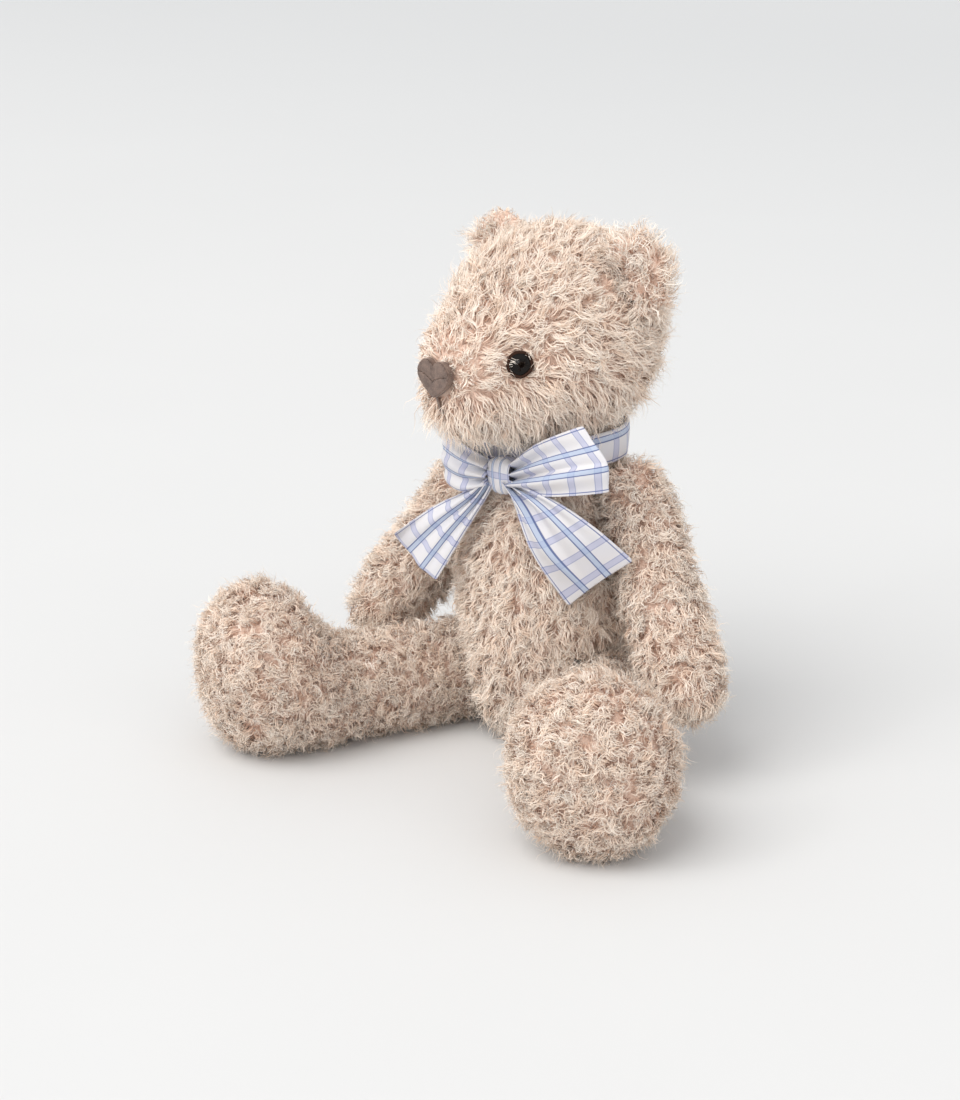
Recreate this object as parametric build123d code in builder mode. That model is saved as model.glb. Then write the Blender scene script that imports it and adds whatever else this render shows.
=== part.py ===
from build123d import *

import os
from math import cos, radians, sin

# Jointed plush teddy bear, sitting, about 265 mm tall.  Millimetres, +Z up.
# The origin is on the floor under the middle of the seat; the bear faces -Y and its left is +X.
# Each limb and the head is a plush cover round its own stuffing, and turns on a plastic
# three-piece joint: a disc with a stem inside the limb, a loose disc and a lock washer in the torso.

# --- plush and clearances
WALL = 4.0  # backing cloth and the dense root of the pile
FIT = 0.3  # between two covers that turn against each other
LOOSE = 0.2  # between stuffing and what it surrounds

# --- joint hardware
STEM_R = 3.4
STEM_BORE_R = 3.45
COVER_HOLE_R = 3.9
DISC_T = 2.2
STEM_DEPTH = 11.5  # from the joint face into the torso
LOCK_R = 6.5
LOCK_T = 2.0
HIP_DISC_R = 13.0
SHOULDER_DISC_R = 7.0
NECK_DISC_R = 12.0

# --- hips: the joint face is upright and looks out and back, so that the legs splay
HIP_POINT = (19.0, -10.0, 26.0)
HIP_SPLAY = 28.0
HIP_POCKET_R = 27.5
LEG_REACH = 140.0
THIGH_FLAT = 32.0  # how far forward of the joint the thigh's flat side runs

# --- shoulders: the joint face leans back at the top, so that the arms hang clear of the legs
SHOULDER_CENTRE = (46.0, 2.0, 124.0)  # middle of the arm at the joint
SHOULDER_SPLAY = 20.0
SHOULDER_LEAN = 24.0
ARM_MIDDLE = 16.0  # from the joint face to the middle of the arm
SHOULDER_POCKET_R = 24.0
ARM_SWING_BACK = -20
ARM_SWING_FRONT = 95
LEFT_ARM_SWING = 22.0  # forward of straight down, at rest
RIGHT_ARM_SWING = 25.0

# --- neck and head
NECK_Z = 163.0
HEAD_Z = 208.0
HEAD_TURN = -12.0  # the head looks a little to the bear's right

# --- face
EYE_AIM = (28.0, -5.5, 48.0)  # across, up, forward from the head's middle
EYE_R = 5.5
EYE_DOME = 4.6
EYE_SHANK_R = 1.6
EYE_WASHER_R = 6.0
NOSE_UP = -14.5
NOSE_W = 22.0
NOSE_H = 17.0
NOSE_PROUD = 2.6
MOUTH_W = 1.4
MOUTH_H = 9.0

# --- ears
EAR_PLACE = (45.5, 29.0, -6.5)  # across, up, forward
EAR_R = 20.5
EAR_T = 11.0

# --- ribbon
BAND_LOW_Z = 144.5
BAND_W = 16.5
BAND_A = 35.0
BAND_B = 36.5
CLOTH_T = 1.2

# Each form is a row of ellipses: (station, offset x, offset y, radius x, radius y).
TORSO = [
    (0, 0, 2, 18, 27),
    (5, 0, 2, 25, 35),
    (15, 0, 1, 30, 41),
    (32, 0, 0, 36, 45),
    (52, 0, 0, 41.5, 47.5),
    (75, 0, 0, 45, 48),
    (95, 0, 0, 44, 47),
    (115, 0, 0, 39.5, 43),
    (132, 0, 0, 33, 37),
    (146, 0, 0, 28, 31),
    (156, 0, 0, 25, 27),
    (NECK_Z, 0, 0, 23, 24),
]
HEAD = [
    (-48, 0, 3, 6, 6),
    (-45, 0, 3, 19, 18),
    (-36, 0, 2, 34, 32),
    (-20, 0, 1, 45.5, 42.5),
    (0, 0, -1, 50, 47.5),
    (18, 0, -2.5, 48.5, 46),
    (34, 0, -6.5, 41, 41),
    (46, 0, -10.5, 33, 33),
    (56, 0, -12.5, 27.5, 28.5),
    (65, 0, -13.5, 23, 24.5),
    (72, 0, -13, 17, 17.5),
    (75.5, 0, -12.5, 7.5, 7.5),
]
LEG = [
    (-25, 15, 0, 5, 6),
    (-22, 15, 0, 13, 14),
    (-14, 15.5, 0, 18.5, 21),
    (0, 16, -0.5, 20, 24.5),
    (25, 18.5, -1, 18.5, 25),
    (45, 18.5, -1, 20.5, 25),
    (65, 19.5, -1, 23, 25),
    (86, 21, 0, 26.5, 26),
    (98, 22, 5.5, 32, 31.5),
    (110, 23, 13, 36, 39),
    (122, 23.5, 15.5, 37, 41.5),
    (136, 24, 16, 34.5, 39),
    (146, 24, 16, 26.5, 30),
    (151, 24, 16, 13, 15),
]
ARM = [
    (-20, 0, 0, 5, 6),
    (-17, 0, 0, 12, 12),
    (-9, 0, 0, 16, 17),
    (0, 0, 0, 17.5, 19),
    (25, 0, 0, 17.5, 19.5),
    (50, 0, 0, 18, 19.5),
    (75, 0, 0, 18.5, 20),
    (92, 0, 0, 17, 18.5),
    (102, 0, 0, 12, 13),
    (106, 0, 0, 6, 6),
]


# --- frames -------------------------------------------------------------------------------
def hip_frames():
    """The left hip's joint face (x forward, z out) and the leg's stations (x out, z forward)."""
    out = Vector(cos(radians(HIP_SPLAY)), sin(radians(HIP_SPLAY)), 0)
    forward = Vector(sin(radians(HIP_SPLAY)), -cos(radians(HIP_SPLAY)), 0)
    face = Plane(origin=HIP_POINT, x_dir=forward, z_dir=out)
    stations = Plane(origin=HIP_POINT, x_dir=out, z_dir=forward)
    return face, stations


def shoulder_frames(swing):
    """The left shoulder's joint face and the stations of an arm swung forward by an angle."""
    lean = radians(SHOULDER_LEAN)
    splay = radians(SHOULDER_SPLAY)
    out = Vector(cos(lean) * cos(splay), cos(lean) * sin(splay), sin(lean))
    forward = Vector(sin(splay), -cos(splay), 0)
    down = out.cross(forward)
    centre = Vector(*SHOULDER_CENTRE)
    along = down * cos(radians(swing)) + forward * sin(radians(swing))
    face = Plane(origin=centre - out * ARM_MIDDLE, x_dir=forward, z_dir=out)
    stations = Plane(origin=centre, x_dir=out, z_dir=along)
    return face, stations


HIP_FACE, LEG_FRAME = hip_frames()
SHOULDER_FACE = shoulder_frames(0)[0]
NECK_FACE = Plane.XY.offset(NECK_Z)
HEAD_FRAME = Plane(
    origin=(0, 0, HEAD_Z),
    x_dir=(cos(radians(HEAD_TURN)), sin(radians(HEAD_TURN)), 0),
    z_dir=(sin(radians(HEAD_TURN)), -cos(radians(HEAD_TURN)), 0),
)


# --- forms --------------------------------------------------------------------------------
def form(frame, stations, inset=0.0):
    """A smooth solid through the stations' ellipses, drawn in by an even inset."""
    first = stations[0][0]
    last = stations[-1][0]
    shrink = (last - first - 2 * inset) / (last - first)
    with BuildPart() as solid:
        for place, across, up, radius_x, radius_y in stations:
            with BuildSketch(frame.offset(first + inset + (place - first) * shrink)):
                with Locations((across, up)):
                    Ellipse(max(radius_x - inset, 2), max(radius_y - inset, 2))
        loft()
    return solid.part


def peg(face, radius, low, high):
    """A round peg square to a joint face, from low to high above it."""
    with BuildPart() as tool:
        with BuildSketch(face.offset(low)):
            Circle(radius)
        extrude(amount=high - low)
    return tool.part


def hip_pocket(grow=0.0):
    """The room beside the torso that the thigh lies in and swings down through."""
    radius = HIP_POCKET_R + grow
    with BuildPart() as tool:
        with BuildSketch(HIP_FACE.offset(-grow)):
            Circle(radius)
            with Locations((0, -radius)):
                Rectangle(LEG_REACH, LEG_REACH, align=(Align.MIN, Align.MIN))
            with Locations((-radius, 0)):
                Rectangle(LEG_REACH, LEG_REACH, align=(Align.MIN, Align.MIN))
        extrude(amount=60)
    return tool.part


def shoulder_pocket(grow=0.0):
    """The room beside the torso that the upper arm swings through."""
    radius = SHOULDER_POCKET_R + grow
    with BuildPart() as tool:
        with BuildSketch(SHOULDER_FACE.offset(-grow)):
            Circle(radius)
            for swing in range(ARM_SWING_BACK, ARM_SWING_FRONT + 1, 23):
                with Locations(Location((0, 0, 0), (0, 0, -swing))):
                    Rectangle(2 * radius, LEG_REACH, align=(Align.CENTER, Align.MIN))
        extrude(amount=60)
    return tool.part


def torso_form(inset):
    """The torso's solid with its hip and shoulder pockets."""
    with BuildPart() as solid:
        add(form(Plane.XY, TORSO, inset))
        for pocket in (hip_pocket(inset), shoulder_pocket(inset)):
            add(pocket, mode=Mode.SUBTRACT)
            add(mirror(pocket, about=Plane.YZ, mode=Mode.PRIVATE), mode=Mode.SUBTRACT)
    return solid.part


def limb_form(face, frame, stations, reach, gap, inset):
    """A limb's solid, flat where it meets the joint face, as far forward as its reach."""
    with BuildPart() as solid:
        add(form(frame, stations, inset))
        with BuildSketch(face.offset(gap)):
            with Locations((reach, 0)):
                Rectangle(2 * LEG_REACH, 2 * LEG_REACH, align=(Align.MAX, Align.CENTER))
        extrude(amount=-40, mode=Mode.SUBTRACT)
    return solid.part


def head_form(inset, floor):
    """The head's solid, flat where it sits on the neck."""
    with BuildPart() as solid:
        add(form(HEAD_FRAME, HEAD, inset))
        with BuildSketch(Plane.XY.offset(floor)):
            Rectangle(90, 90)
        extrude(amount=-40, mode=Mode.SUBTRACT)
    return solid.part


def mirrored(solid):
    """The same solid on the bear's right."""
    return mirror(solid, about=Plane.YZ, mode=Mode.PRIVATE)


def finish(builder, name):
    """Label a finished piece and write it."""
    builder.part.label = name
    export_step(builder.part, f"parts/{name}.step")


def finish_solid(solid, name):
    """Label and write a solid that needs no further feature."""
    with BuildPart() as piece:
        add(solid)
    finish(piece, name)


os.makedirs("parts", exist_ok=True)
FACES = {
    "hip": (HIP_FACE, HIP_DISC_R),
    "shoulder": (SHOULDER_FACE, SHOULDER_DISC_R),
    "neck": (NECK_FACE, NECK_DISC_R),
}


# --- joint hardware -----------------------------------------------------------------------
def joint_disc(face, radius):
    """The limb's disc and the stem that reaches into the torso."""
    low = FIT + WALL + LOOSE
    with BuildPart() as disc:
        add(peg(face, radius, low, low + DISC_T))
        add(peg(face, STEM_R, -STEM_DEPTH, low))
    return disc.part


def ring(face, radius, bore, low, high):
    """A flat washer square to a joint face."""
    with BuildPart() as washer:
        add(peg(face, radius, low, high))
        add(peg(face, bore, low, high), mode=Mode.SUBTRACT)
    return washer.part


def joint_washer(face, radius):
    """The torso's loose disc, which the stem turns in."""
    high = -WALL - LOOSE
    return ring(face, radius, STEM_BORE_R, high - DISC_T, high)


def lock_washer(face):
    """The washer pushed on to the stem behind the loose disc."""
    high = -WALL - 2 * LOOSE - DISC_T
    return ring(face, LOCK_R, STEM_R, high - LOCK_T, high)


def torso_hardware_room(face, radius):
    """What the torso's stuffing leaves free round one joint."""
    with BuildPart() as room:
        add(peg(face, radius + LOOSE, -WALL - 2 * LOOSE - DISC_T, 0))
        add(peg(face, LOCK_R + LOOSE, -STEM_DEPTH - LOOSE, 0))
    return room.part


def limb_hardware_room(face, radius):
    """What a limb's stuffing leaves free round its disc."""
    return peg(face, radius + LOOSE, 0, FIT + WALL + 2 * LOOSE + DISC_T)


for joint, (face, radius) in FACES.items():
    pieces = {
        "joint_disc": joint_disc(face, radius),
        "joint_washer": joint_washer(face, radius),
        "lock_washer": lock_washer(face),
    }
    for kind, solid in pieces.items():
        if joint == "neck":
            finish_solid(solid, f"neck_{kind}")
        else:
            finish_solid(solid, f"{joint}_{kind}_left")
            finish_solid(mirrored(solid), f"{joint}_{kind}_right")

# --- torso --------------------------------------------------------------------------------
with BuildPart() as torso_cover:
    add(torso_form(0))
    add(torso_form(WALL), mode=Mode.SUBTRACT)
    for face, _ in FACES.values():
        hole = peg(face, COVER_HOLE_R, -WALL - 2, 1)
        add(hole, mode=Mode.SUBTRACT)
        add(mirrored(hole), mode=Mode.SUBTRACT)
finish(torso_cover, "torso_cover")

with BuildPart() as torso_stuffing:
    add(torso_form(WALL + LOOSE))
    for face, radius in FACES.values():
        room = torso_hardware_room(face, radius)
        add(room, mode=Mode.SUBTRACT)
        add(mirrored(room), mode=Mode.SUBTRACT)
finish(torso_stuffing, "torso_stuffing")


# --- limbs --------------------------------------------------------------------------------
def limb(name, face, frame, stations, reach, radius, turn_over):
    """One limb's cover and stuffing, mirrored for the bear's right."""
    with BuildPart() as cover:
        add(limb_form(face, frame, stations, reach, FIT, 0))
        add(limb_form(face, frame, stations, reach, FIT + WALL, WALL), mode=Mode.SUBTRACT)
        add(peg(face, COVER_HOLE_R, 0, FIT + WALL + 1), mode=Mode.SUBTRACT)
    with BuildPart() as stuffing:
        add(limb_form(face, frame, stations, reach, FIT + WALL + LOOSE, WALL + LOOSE))
        add(limb_hardware_room(face, radius), mode=Mode.SUBTRACT)
    for piece, kind in ((cover.part, "cover"), (stuffing.part, "stuffing")):
        side = "right" if turn_over else "left"
        finish_solid(mirrored(piece) if turn_over else piece, f"{name}_{kind}_{side}")


for turn_over in (False, True):
    limb("leg", HIP_FACE, LEG_FRAME, LEG, THIGH_FLAT, HIP_DISC_R, turn_over)
    swing = RIGHT_ARM_SWING if turn_over else LEFT_ARM_SWING
    arm_frame = shoulder_frames(swing)[1]
    limb("arm", SHOULDER_FACE, arm_frame, ARM, LEG_REACH, SHOULDER_DISC_R, turn_over)


# --- eyes ---------------------------------------------------------------------------------
HEAD_SKIN = head_form(0, NECK_Z + FIT)


def eye_plane(side):
    """The plane on the head's surface that an eye sits on, z outwards."""
    across, up, forward = EYE_AIM
    aim = HEAD_FRAME.from_local_coords((side * across, up, forward)) - HEAD_FRAME.origin
    hits = HEAD_SKIN.find_intersection_points(Axis(HEAD_FRAME.origin, aim))
    point, normal = max(hits, key=lambda hit: (hit[0] - HEAD_FRAME.origin).dot(aim))
    return Plane(origin=point, z_dir=normal)


def eye(plane):
    """A glossy dome on a shank."""
    profile = Plane(origin=plane.origin, x_dir=plane.x_dir, z_dir=-plane.y_dir)
    with BuildPart() as solid:
        with BuildSketch(profile):
            with BuildLine():
                RadiusArc((0, EYE_DOME), (EYE_R, 0), -EYE_R)
                Polyline(
                    (EYE_R, 0),
                    (EYE_R, -1),
                    (EYE_SHANK_R, -1),
                    (EYE_SHANK_R, -9),
                    (0, -9),
                    (0, EYE_DOME),
                )
            make_face()
        revolve(axis=Axis(plane.origin, plane.z_dir))
    return solid.part


EYES = {"left": eye_plane(1), "right": eye_plane(-1)}
for side, plane in EYES.items():
    finish_solid(eye(plane), f"eye_{side}")
    washer = ring(plane, EYE_WASHER_R, EYE_SHANK_R, -WALL - 3, -WALL - 1.5)
    finish_solid(washer, f"eye_washer_{side}")

# --- head ---------------------------------------------------------------------------------
with BuildPart() as head_cover:
    add(HEAD_SKIN)
    add(head_form(WALL, NECK_Z + FIT + WALL), mode=Mode.SUBTRACT)
    add(peg(NECK_FACE, COVER_HOLE_R, 0, FIT + WALL + 1), mode=Mode.SUBTRACT)
    for plane in EYES.values():
        add(peg(plane, EYE_R + LOOSE, -1.5, 6), mode=Mode.SUBTRACT)
        add(peg(plane, EYE_SHANK_R + LOOSE, -WALL - 3, 0), mode=Mode.SUBTRACT)
finish(head_cover, "head_cover")

with BuildPart() as head_stuffing:
    add(head_form(WALL + LOOSE, NECK_Z + FIT + WALL + LOOSE))
    add(limb_hardware_room(NECK_FACE, NECK_DISC_R), mode=Mode.SUBTRACT)
    for plane in EYES.values():
        add(peg(plane, EYE_WASHER_R + LOOSE, -10, 0), mode=Mode.SUBTRACT)
finish(head_stuffing, "head_stuffing")

SNOUT = form(HEAD_FRAME, HEAD, 0)
NOSE_PLANE = Plane(
    origin=HEAD_FRAME.from_local_coords((0, NOSE_UP, 58)),
    x_dir=HEAD_FRAME.x_dir,
    z_dir=HEAD_FRAME.z_dir,
)
with BuildPart() as nose:
    with BuildSketch(NOSE_PLANE):
        with BuildLine():
            Spline(
                (0, NOSE_H / 2 - 1.5),
                (NOSE_W / 2 - 3.5, NOSE_H / 2),
                (NOSE_W / 2, NOSE_H / 2 - 5.5),
                (NOSE_W / 4, -NOSE_H / 2 + 3.5),
                (0, -NOSE_H / 2),
            )
            mirror(about=Plane.YZ)
        make_face()
    extrude(amount=30)
    add(form(HEAD_FRAME, HEAD, -NOSE_PROUD), mode=Mode.INTERSECT)
    add(SNOUT, mode=Mode.SUBTRACT)
finish(nose, "nose")

with BuildPart() as mouth_stitch:
    with BuildSketch(NOSE_PLANE):
        with Locations((0, -NOSE_H / 2 - MOUTH_H / 2 - LOOSE)):
            Rectangle(MOUTH_W, MOUTH_H)
    extrude(amount=30)
    add(form(HEAD_FRAME, HEAD, -1.0), mode=Mode.INTERSECT)
    add(SNOUT, mode=Mode.SUBTRACT)
finish(mouth_stitch, "mouth_stitch")


# --- ears ---------------------------------------------------------------------------------
def ear():
    """The left ear: a thick round pad that leans outwards, sewn to the head."""
    place = HEAD_FRAME.from_local_coords(EAR_PLACE)
    with BuildPart() as pad:
        with BuildSketch(Plane(origin=place, z_dir=HEAD_FRAME.z_dir)):
            Circle(EAR_R)
        extrude(amount=EAR_T / 2, both=True)
        fillet(pad.edges(), EAR_T / 2 - 0.6)
        add(SNOUT, mode=Mode.SUBTRACT)
    return pad.part


def across_head(solid):
    """The same solid on the other side of the head."""
    middle = Plane(origin=HEAD_FRAME.origin, z_dir=HEAD_FRAME.x_dir)
    return mirror(solid, about=middle, mode=Mode.PRIVATE)


finish_solid(ear(), "ear_left")
finish_solid(across_head(ear()), "ear_right")

# --- ribbon -------------------------------------------------------------------------------
KNOT_Y = -BAND_B - 6.5
KNOT_Z = 142.5
KNOT_W = 13.0
KNOT_D = 12.0
KNOT_H = 18.0
LOOP_D = 10.0
LOOP_H = 25.0

with BuildPart() as ribbon_band:
    with BuildSketch(Plane.XY.offset(BAND_LOW_Z)):
        Ellipse(BAND_A, BAND_B)
        Ellipse(BAND_A - 2, BAND_B - 2, mode=Mode.SUBTRACT)
    extrude(amount=BAND_W)
finish(ribbon_band, "ribbon_band")

with BuildPart() as ribbon_knot:
    with Locations((0, KNOT_Y, KNOT_Z)):
        Box(KNOT_W, KNOT_D, KNOT_H)
    fillet(ribbon_knot.edges(), 3.5)
finish(ribbon_knot, "ribbon_knot")


def bow_loop(side, rise, length):
    """A flattened loop of ribbon beside the knot, open at its top and bottom edges."""
    root = Vector(side * (KNOT_W / 2 + 1.8), KNOT_Y - 1, KNOT_Z)
    outwards = Vector(side * cos(radians(rise)), 0, sin(radians(rise)))
    upwards = Vector(-side * sin(radians(rise)), 0, cos(radians(rise)))
    with BuildPart() as loop:
        for inset, mode in ((0, Mode.ADD), (CLOTH_T, Mode.SUBTRACT)):
            with BuildSketch(Plane(root, x_dir=outwards, z_dir=upwards)):
                with BuildLine():
                    Spline(
                        (inset, 0),
                        (length * 0.45, LOOP_D / 2 - inset),
                        (length - inset, 0),
                        tangents=((1, 0.35), (0, -1)),
                    )
                    Spline(
                        (inset, 0),
                        (length * 0.45, -LOOP_D / 2 + inset),
                        (length - inset, 0),
                        tangents=((1, -0.35), (0, 1)),
                    )
                make_face()
            extrude(amount=LOOP_H / 2, both=True, mode=mode)
        with BuildSketch(Plane(root, x_dir=outwards, z_dir=outwards.cross(upwards))):
            Polygon(
                (0, -KNOT_H / 2 + 2),
                (length, -LOOP_H / 2),
                (length, LOOP_H / 2),
                (0, KNOT_H / 2 - 2),
                align=None,
            )
        extrude(amount=LOOP_D, both=True, mode=Mode.INTERSECT)
    return loop.part


finish_solid(bow_loop(1, 14, 50.0), "ribbon_loop_left")
finish_solid(bow_loop(-1, 2, 28.0), "ribbon_loop_right")


def tail(start, end, start_w, end_w, away):
    """A flat tail of ribbon from the knot to its cut end, facing away from the chest."""
    along = Vector(*end) - Vector(*start)
    across = Vector(*away).cross(along)
    with BuildPart() as sheet:
        with BuildSketch(Plane(origin=start, x_dir=along, z_dir=across.cross(along) * -1)):
            Polygon(
                (0, -start_w / 2),
                (along.length, -end_w / 2),
                (along.length, end_w / 2),
                (0, start_w / 2),
                align=None,
            )
        extrude(amount=CLOTH_T / 2, both=True)
    return sheet.part


left_tail = tail((9, -47.5, 131.5), (40, -45, 91), 10, 30, (0.6, -1, 0.1))
right_tail = tail((-9, -47.5, 131.5), (-47, -59, 93), 10, 26, (-0.3, -1, 0.1))
finish_solid(left_tail, "ribbon_tail_left")
finish_solid(right_tail, "ribbon_tail_right")
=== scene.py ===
from collections import namedtuple
from math import ceil, cos, pi, radians, sin

import bmesh
import bpy
import numpy as np
from mathutils import Matrix, Vector
from mathutils.bvhtree import BVHTree
from mathutils.kdtree import KDTree


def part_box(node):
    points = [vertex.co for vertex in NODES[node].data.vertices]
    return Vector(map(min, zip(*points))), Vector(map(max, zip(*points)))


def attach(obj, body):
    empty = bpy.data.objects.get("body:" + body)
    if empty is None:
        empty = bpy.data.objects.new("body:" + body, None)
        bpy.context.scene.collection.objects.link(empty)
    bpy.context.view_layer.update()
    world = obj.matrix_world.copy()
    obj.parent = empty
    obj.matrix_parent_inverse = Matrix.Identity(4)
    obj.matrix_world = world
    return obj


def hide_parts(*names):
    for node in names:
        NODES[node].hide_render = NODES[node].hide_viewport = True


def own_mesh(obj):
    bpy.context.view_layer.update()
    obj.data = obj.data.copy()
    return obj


# The looks of the jointed plush bear, on the CAD frame.  Metres, +Z up; the bear faces -Y
# and its left is +X.  Measures written in millimetres are turned into metres by MM.

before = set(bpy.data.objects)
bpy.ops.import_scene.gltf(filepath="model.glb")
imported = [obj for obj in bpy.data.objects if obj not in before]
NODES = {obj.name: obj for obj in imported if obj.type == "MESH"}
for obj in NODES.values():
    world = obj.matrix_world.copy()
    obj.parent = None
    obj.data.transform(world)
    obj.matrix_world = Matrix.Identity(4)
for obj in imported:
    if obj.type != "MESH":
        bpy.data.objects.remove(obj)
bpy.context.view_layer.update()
MM = 0.001

SIDES = ("left", "right")
JOINTS = ("neck", "hip_left", "hip_right", "shoulder_left", "shoulder_right")

# --- camera: the photograph's viewpoint
CAMERA_AZIMUTH = radians(37)
CAMERA_ELEVATION = radians(19)
CAMERA_DISTANCE = 1.2
CAMERA_LENS = 77.0
AIM_RIGHT = -0.0372
AIM_UP = 0.0877

# --- plush
COVER_WALL = 4.0 * MM
BACKING_INSET = 1.8 * MM  # how far the backing cloth lies under the CAD cover's face
EAR_INSET = 1.5 * MM
BACKING_VOXEL = 4.5 * MM
WELD_GAP = 0.01 * MM
RELAX_ROUNDS = 4
FILL_PRESSURE = 4.0
FILL_FRAMES = 20
FILL_CAP = 2.0 * MM
FLOOR_GAP = 0.3 * MM

# --- ribbon
RIBBON_WIDTH = 38 * MM
RIBBON_CHECK = 12.6 * MM
RIBBON_THICKNESS = 0.35 * MM
ROW_PITCH = 2.0  # mm across the cloth between two rows of points
PLEATS = 6  # half-waves across a gathered strip
PLEAT_FADE = 0.85  # how much of the pleats is gone where a strip lies open


# --- mesh helpers -------------------------------------------------------------------------
def arrays(obj):
    """obj's points and triangles as arrays, in the frame of the whole bear."""
    mesh = obj.data
    points = np.empty(len(mesh.vertices) * 3)
    mesh.vertices.foreach_get("co", points)
    mesh.calc_loop_triangles()
    tris = np.empty(len(mesh.loop_triangles) * 3, np.int32)
    mesh.loop_triangles.foreach_get("vertices", tris)
    world = np.array(obj.matrix_world)
    return points.reshape(-1, 3) @ world[:3, :3].T + world[:3, 3], tris.reshape(-1, 3)


def add_object(name, mesh):
    """A new object in the scene, smooth shaded."""
    obj = bpy.data.objects.new(name, mesh)
    bpy.context.scene.collection.objects.link(obj)
    mesh.shade_smooth()
    return obj


def mesh_of(name, points, faces):
    """A mesh from lists of points and faces."""
    mesh = bpy.data.meshes.new(name)
    mesh.from_pydata(np.asarray(points).tolist(), [], np.asarray(faces).tolist())
    mesh.validate()
    return mesh


def bake_modifiers(obj):
    """Applies obj's modifiers to its mesh."""
    graph = bpy.context.evaluated_depsgraph_get()
    mesh = bpy.data.meshes.new_from_object(obj.evaluated_get(graph))
    obj.modifiers.clear()
    obj.data = mesh
    mesh.shade_smooth()


def point_normals(mesh):
    """The normal at each point of a mesh."""
    normals = np.empty(len(mesh.vertices) * 3)
    mesh.vertex_normals.foreach_get("vector", normals)
    return normals.reshape(-1, 3)


def set_points(mesh, points):
    """Moves a mesh's points to new places."""
    mesh.vertices.foreach_set("co", np.ascontiguousarray(points).ravel())
    mesh.update()


def unit(vectors):
    """Each row scaled to length one."""
    return vectors / np.maximum(np.linalg.norm(vectors, axis=-1, keepdims=True), 1e-9)


def dot(a, b):
    """Each row's scalar product, kept as a column."""
    return np.sum(a * b, axis=-1, keepdims=True)


def step_between(low, high, x):
    """0 on low's side, 1 on high's side, and smooth between; low may be the larger."""
    t = np.clip((x - low) / (high - low), 0, 1)
    return t * t * (3 - 2 * t)


# --- node helpers -------------------------------------------------------------------------
class Tree:
    """Short calls for building one material's nodes."""

    def __init__(self, name):
        self.material = bpy.data.materials.new(name)
        self.material.use_nodes = True
        self.nodes = self.material.node_tree.nodes
        self.links = self.material.node_tree.links
        self.shader = self.nodes["Principled BSDF"]

    def put(self, socket, value):
        """Sets a socket, or links it when value is another node's output."""
        if isinstance(value, bpy.types.NodeSocket):
            self.links.new(value, socket)
        else:
            socket.default_value = value

    def node(self, kind, inputs=(), **settings):
        """A node with its settings, and its inputs by name or place."""
        made = self.nodes.new(kind)
        for key, value in settings.items():
            setattr(made, key, value)
        for key, value in dict(inputs).items():
            self.put(made.inputs[key], value)
        return made

    def math(self, operation, a, b=0.0):
        """The output of one Math node."""
        return self.node("ShaderNodeMath", {0: a, 1: b}, operation=operation).outputs[0]

    def fade(self, value, low, high, start=0.0, end=1.0):
        """value's place between low and high, eased, as start to end."""
        inputs = {0: value, 1: low, 2: high, 3: start, 4: end}
        made = self.node("ShaderNodeMapRange", inputs, interpolation_type="SMOOTHSTEP")
        return made.outputs[0]

    def mix(self, share, a, b, blend="MIX"):
        """Two colours mixed by share."""
        inputs = {0: share, 6: a, 7: b}
        settings = {"data_type": "RGBA", "blend_type": blend}
        return self.node("ShaderNodeMix", inputs, **settings).outputs[2]

    def noise(self, scale, detail=3.0, rough=0.55):
        """Noise over the object's own coordinates."""
        place = self.node("ShaderNodeTexCoord").outputs["Object"]
        inputs = {"Vector": place, "Scale": scale, "Detail": detail, "Roughness": rough}
        return self.node("ShaderNodeTexNoise", inputs).outputs["Fac"]

    def bump(self, height, strength, distance):
        """Links a bump of the given height to the shader's normal."""
        inputs = {"Height": height, "Strength": strength, "Distance": distance}
        self.put(self.shader.inputs["Normal"], self.node("ShaderNodeBump", inputs).outputs[0])

    def finish(self, **sockets):
        """Sets the shader's own sockets by name, with spaces as underscores."""
        for key, value in sockets.items():
            self.put(self.shader.inputs[key.replace("_", " ")], value)
        return self.material


def srgb(red, green, blue):
    """A colour as a picture shows it, 0 to 255, in the renderer's linear values."""
    parts = [c / 255 for c in (red, green, blue)]
    linear = [c / 12.92 if c <= 0.04045 else ((c + 0.055) / 1.055) ** 2.4 for c in parts]
    return (*linear, 1.0)


# --- materials ----------------------------------------------------------------------------
def pile_material():
    """Plush pile: red-brown at the root, beige along the strand and cream at the tip; the darker
    root is partly the strands' own colour and partly painted shade deep in the pile.
    """
    tree = Tree("plush_pile")
    along = tree.node("ShaderNodeAttribute", attribute_name="along").outputs["Fac"]
    tint = tree.node("ShaderNodeAttribute", attribute_name="tint").outputs["Fac"]
    # The darker root colours are partly painted shade, standing in for the shade that falls deep
    # in the pile.
    root = tree.mix(tint, srgb(214, 176, 154), srgb(238, 213, 197))
    middle = tree.mix(tint, srgb(240, 214, 193), srgb(249, 240, 229))
    tip = tree.mix(tint, srgb(250, 235, 219), srgb(255, 250, 242))
    lower = tree.mix(tree.fade(along, 0.0, 0.5), root, middle)
    colour = tree.mix(tree.fade(along, 0.5, 1.0), lower, tip)
    return tree.finish(
        Base_Color=colour,
        Roughness=0.62,
        Specular_IOR_Level=0.3,
        Sheen_Weight=0.5,
        Sheen_Roughness=0.4,
    )


def backing_material():
    """The knitted cloth that the pile grows from."""
    tree = Tree("plush_backing")
    loops = tree.noise(900, 2)
    patches = tree.noise(40, 4)
    colour = tree.mix(tree.fade(patches, 0.35, 0.65), srgb(206, 174, 155), srgb(220, 190, 172))
    colour = tree.mix(tree.fade(loops, 0.4, 0.7), colour, srgb(232, 206, 189))
    tree.bump(loops, 0.6, 0.4 * MM)
    return tree.finish(Base_Color=colour, Roughness=0.9, Sheen_Weight=0.4)


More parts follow.
